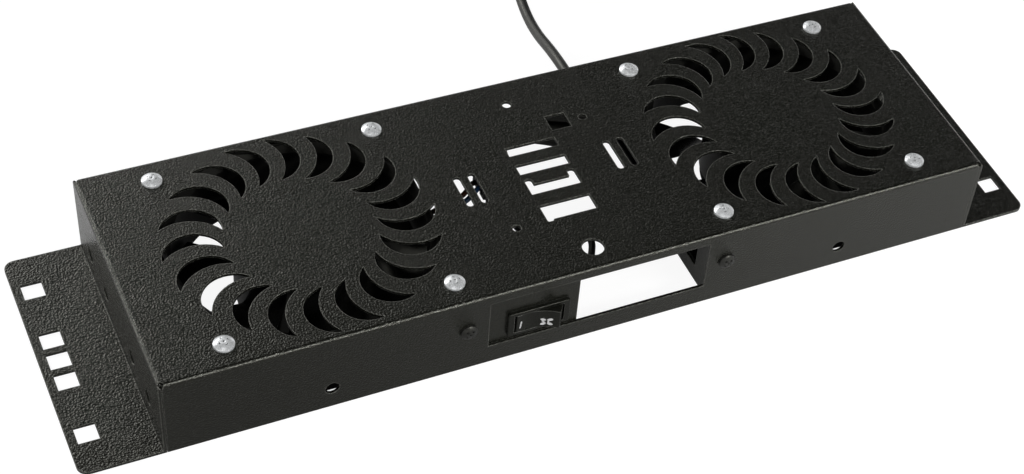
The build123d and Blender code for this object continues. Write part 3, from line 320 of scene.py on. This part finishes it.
wears = {
    "chassis": coat, "switch_bracket": plate_paint, "bracket_screws": black_oxide, "bracket_nuts": zinc,
    "switch_housing": switch_plastic, "switch_rocker": switch_plastic, "switch_terminals": brass,
    "fan_screws": zinc, "fan_nuts": zinc, "terminal_block": block_plastic, "terminal_screws": zinc,
    "brown_cores": brown_skin, "blue_cores": blue_skin, "earth_core": earth_skin(),
    "right_fan_sleeve": sleeve_rubber, "switch_sleeve": sleeve_rubber, "mains_sheath": sleeve_rubber,
    "earth_stud": zinc, "earth_nut": zinc, "ring_terminal": zinc, "cord_gland": moulded_rubber,
    "plug_body": moulded_rubber, "plug_pins": nickel, "plug_contacts": brass,
}
fan_wears = {
    "fan_frame": fan_plastic, "impeller": blade_plastic, "shaft": steel, "bearings": steel,
    "shaft_clip": steel, "rotor_ring": steel, "stator_core": stator_steel, "stator_coils": copper,
}
for side in ("left", "right"):
    wears.update({f"{side}_{part}": material for part, material in fan_wears.items()})


def dress(piece, material):
    piece.data.materials.clear()
    piece.data.materials.append(material)


for name, material in wears.items():
    dress(nodes[name], material)


# The mains lead: one smooth line through the route that part.py also has, then the coil, then the plug

cord_diameter = 5.6
cord_route = [
    (51.8, 64.75, 17.5), (51.8, 90, 17.5), (53, 111, 14), (54.9, 130, 7.5),
    (57.5, 149, 3.4), (61, 169.5, 2.8), (66.2, 188, 2.8),
]
tail_route = [
    (66.9, 215, 8.4), (69.1, 227, 9.8), (74.4, 238.7, 12.6), (82.7, 248.7, 15.8),
    (93.5, 256, 18), (106, 259.6, 18.2),
]
coil_centre = (109.0, 201.0)
coil_outer, coil_inner = 42.2, 19.8
coil_low, coil_high = 2.8, 8.4
points_per_turn = 16
turns_per_layer = 4


def coil_points():
    """Turns that wind in along the floor, rise within half a turn, and wind out again on top"""
    points = []
    steps = turns_per_layer * points_per_turn
    for step in range(2 * steps + 1):
        share = step / steps
        inward = share if share <= 1 else 2 - share
        radius = coil_outer + (coil_inner - coil_outer) * inward
        turned = math.pi - 2 * math.pi * step / points_per_turn
        climb = min(max((step - steps + points_per_turn / 4) / (points_per_turn / 2), 0.0), 1.0)
        height = coil_low + (coil_high - coil_low) * climb * climb * (3 - 2 * climb)
        across, along = radius * math.cos(turned), radius * math.sin(turned)
        points.append((coil_centre[0] + across, coil_centre[1] + along, height))
    return points


def spline_curve(name, points, diameter, material):
    """A round cord on a smooth line of order 3, whose control points are given in millimetres"""
    data = bpy.data.curves.new(name, "CURVE")
    data.dimensions = "3D"
    data.bevel_depth = diameter / 2 * mm
    data.bevel_resolution = 4
    data.use_fill_caps = True
    data.resolution_u = 6
    spline = data.splines.new("NURBS")
    spline.points.add(len(points) - 1)
    for point, place in zip(spline.points, points):
        point.co = (*scaled(place, mm), 1.0)
    spline.order_u = 3
    spline.use_endpoint_u = True
    data.materials.append(material)
    piece = bpy.data.objects.new(name, data)
    bpy.context.scene.collection.objects.link(piece)
    return piece


lead = spline_curve("mains_lead", cord_route + coil_points() + tail_route, cord_diameter, cord_jacket)
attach(lead, "unit")
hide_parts("mains_cord", "cord_coil", "cord_tail")


# The rocker's marks, laid on its face: a stroke for on, and the outline of a fan

def new_piece(name, form, material, body):
    data = bpy.data.meshes.new(name)
    form.to_mesh(data)
    form.free()
    piece = bpy.data.objects.new(name, data)
    bpy.context.scene.collection.objects.link(piece)
    dress(piece, material)
    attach(piece, body)
    return piece


def leaned(centre, across, along, lean):
    """The point across and along from a centre, on axes that lean by an angle"""
    return (centre[0] + across * math.cos(lean) - along * math.sin(lean),
            centre[1] + across * math.sin(lean) + along * math.cos(lean))


def oval(centre, half_long, half_short, lean, steps=24):
    angles = [2 * math.pi * step / steps for step in range(steps)]
    return [leaned(centre, half_short * math.cos(a), half_long * math.sin(a), lean) for a in angles]


def bar(centre, half_width, half_height, lean, steps=6):
    """Up one side and down the other, so that the bar can follow a bent face"""
    heights = [half_height * (2 * step / steps - 1) for step in range(steps + 1)]
    return [leaned(centre, way * half_width, way * height, lean) for way in (-1, 1) for height in heights]


face_tree = BVHTree.FromObject(nodes["switch_rocker"], bpy.context.evaluated_depsgraph_get())
ray_start = -200.0
ink_foot, ink_height = -0.02, 0.05
ink_rings = ((1.0, ink_foot), (0.94, ink_height), (0.5, ink_height))


def on_face(point, height):
    """The point at a height over the rocker's face, at an x and a z in millimetres"""
    start = Vector((point[0], ray_start, point[1])) * mm
    return face_tree.ray_cast(start, Vector((0, 1, 0)))[0] - Vector((0, height * mm, 0))


def drawn_in(outline, middle, share):
    return [(middle[0] + share * (x - middle[0]), middle[1] + share * (y - middle[1])) for x, y in outline]


def print_mark(name, outlines):
    """A thin layer of ink inside each outline: a rim, a flat top and a point at its middle"""
    form = bmesh.new()
    for outline in outlines:
        count = len(outline)
        middle = (sum(p[0] for p in outline) / count, sum(p[1] for p in outline) / count)
        rings = []
        for share, height in ink_rings:
            rings.append([form.verts.new(on_face(p, height)) for p in drawn_in(outline, middle, share)])
        heart = form.verts.new(on_face(middle, ink_height))
        for step in range(count):
            after = (step + 1) % count
            for outer, inner in zip(rings, rings[1:]):
                form.faces.new((outer[step], outer[after], inner[after], inner[step]))
            form.faces.new((rings[-1][step], rings[-1][after], heart))
    bmesh.ops.recalc_face_normals(form, faces=form.faces)
    new_piece(name, form, mark_ink, "rocker")


stroke_centre, stroke_half_width, stroke_half_height, stroke_lean = (-39.8, 19.9), 0.42, 2.2, -0.12
print_mark("on_mark", [bar(stroke_centre, stroke_half_width, stroke_half_height, stroke_lean)])

fan_mark_centre = (-27.7, 19.2)
blade_across, blade_up = 2.05, 1.95
blade_half_long, blade_half_short, blade_lean = 1.3, 0.78, 20.0
blades = []
for quarter in range(4):
    turned = math.radians(45 + 90 * quarter)
    blade_centre = (fan_mark_centre[0] + blade_across * math.cos(turned),
                    fan_mark_centre[1] + blade_up * math.sin(turned))
    lean = math.radians(90 + blade_lean * (-1) ** quarter)
    blades.append(oval(blade_centre, blade_half_long, blade_half_short, lean))
left_link = oval((fan_mark_centre[0] - 1.35, fan_mark_centre[1]), 0.95, 0.4, math.radians(48))
right_link = oval((fan_mark_centre[0] + 0.8, fan_mark_centre[1]), 0.85, 0.42, 0.0)
print_mark("fan_mark", blades + [left_link, right_link])


# The folded tabs inside the tray's corners, behind the seams

tab_reach, tab_thickness, tab_gap = 11.0, 1.3, 0.02
tab_low, tab_high = 2.5, 42.4
tab_rounding = 0.25


def add_block(form, xs, ys, zs):
    """A block between two places on each axis, in millimetres"""
    corners = [form.verts.new((x * mm, y * mm, z * mm)) for x in xs for y in ys for z in zs]
    for face in ((0, 1, 3, 2), (4, 6, 7, 5), (0, 4, 5, 1), (2, 3, 7, 6), (0, 2, 6, 4), (1, 5, 7, 3)):
        form.faces.new([corners[number] for number in face])


tab_form = bmesh.new()
end_inside, wall_inside = half_length - sheet, half_depth - sheet
for end in (-1, 1):
    for way in (-1, 1):
        xs = sorted((end * (end_inside - tab_gap), end * (end_inside - tab_reach)))
        ys = sorted((way * (wall_inside - tab_gap), way * (wall_inside - tab_thickness)))
        add_block(tab_form, xs, ys, (tab_low, tab_high))
bmesh.ops.recalc_face_normals(tab_form, faces=tab_form.faces)
bmesh.ops.bevel(tab_form, geom=list(tab_form.edges), offset=tab_rounding * mm, segments=2, affect="EDGES")
corner_tabs = new_piece("corner_tabs", tab_form, coat, "unit")


# Floor, surroundings and lamps

floor_size, floor_drop = 12.0, 0.1 * mm
floor_glow, glow_direct, glow_mirrored = 1.42, 0.65, 0.09
floor_grey = (0.5, 0.5, 0.5)


def make_floor():
    """A pale floor that glows for the camera, keeps the shadow, and has a painted shadow at the front left
    that only its reflections show
    """
    bpy.ops.mesh.primitive_plane_add(size=floor_size, location=(0, 0, -floor_drop))
    floor = bpy.context.object
    floor.name = "floor"
    s = Shade("floor", Roughness=0.9)
    rays = s.add("ShaderNodeLightPath").outputs
    place = s.axes(s.place)
    # Painted shadow: the floor's colour in reflections is darker at the front and the left
    painted_shadow = s.math("MAXIMUM", s.band(place["X"], -0.2, 0.25, 0.28, 1.0), s.band(place["Y"], -0.05, 0.1))
    s.colour(s.mix(rays["Is Glossy Ray"], floor_grey, painted_shadow))
    seen = s.math("MAXIMUM", rays["Is Camera Ray"], rays["Is Transmission Ray"])
    direct = s.math("MULTIPLY", seen, glow_direct)
    mirrored = s.math("MULTIPLY", rays["Is Glossy Ray"], glow_mirrored)
    glow = s.add("ShaderNodeEmission")
    glow.inputs["Strength"].default_value = floor_glow
    mix = s.add("ShaderNodeMixShader")
    s.feed(mix.inputs["Fac"], s.math("MAXIMUM", direct, mirrored))
    s.feed(mix.inputs[1], s.shader.outputs["BSDF"])
    s.feed(mix.inputs[2], glow.outputs["Emission"])
    s.feed(s.tree.nodes["Material Output"].inputs["Surface"], mix.outputs["Shader"])
    dress(floor, s.material)


def make_world():
    """A pale horizon, dimmer behind at the right, under a dimmer ceiling that darkens towards the right"""
    world = bpy.data.worlds.new("studio")
    bpy.context.scene.world = world
    world.use_nodes = True
    sky = NodeTree(world.node_tree)
    way = sky.axes(sky.add("ShaderNodeTexCoord").outputs["Generated"])
    pale, dim = 0.95, 0.03

    wash = sky.band(way["X"], -0.05, 0.38, 0.2, dim)
    panel = sky.band(way["X"], -0.12, 0.03, 0.0, sky.band(way["X"], 0.05, 0.28, 1.7, 0.0))
    overhead = sky.math("ADD", wash, sky.band(way["Y"], 0.2, 0.5, 0.0, panel))
    ceiling = sky.band(way["Z"], 0.70, 0.83, overhead, dim)

    right_end = sky.band(way["X"], 0.45, 0.65, 0.15, 0.9)
    behind = sky.band(way["X"], 0.1, 0.38, pale, right_end)
    horizon = sky.band(way["Y"], 0.0, 0.3, pale, behind)

    background = sky.tree.nodes["Background"]
    background.inputs["Color"].default_value = (1.0, 1.0, 1.0, 1.0)
    sky.feed(background.inputs["Strength"], sky.band(way["Z"], 0.1, 0.4, horizon, ceiling))


def lamp(name, place, size, radiance):
    """A soft box that faces the origin: its power is pi times its radiance and its area"""
    data = bpy.data.lights.new(name, "AREA")
    data.shape = "RECTANGLE"
    data.size, data.size_y = size
    data.energy = math.pi * radiance * size[0] * size[1]
    piece = bpy.data.objects.new(name, data)
    bpy.context.scene.collection.objects.link(piece)
    piece.location = place
    piece.rotation_mode = "QUATERNION"
    piece.rotation_quaternion = (-Vector(place)).to_track_quat("-Z", "Y")


make_floor()
make_world()
lamp("back_left", (-0.85, 1.7, 1.05), (1.2, 0.8), 6.2)
lamp("front_right", (0.95, -1.65, 1.25), (1.2, 0.3), 24.0)
lamp("left", (-1.75, -0.65, 1.4), (0.9, 0.6), 5.0)
lamp("top", (-0.6, -0.9, 2.0), (1.0, 1.0), 1.0)
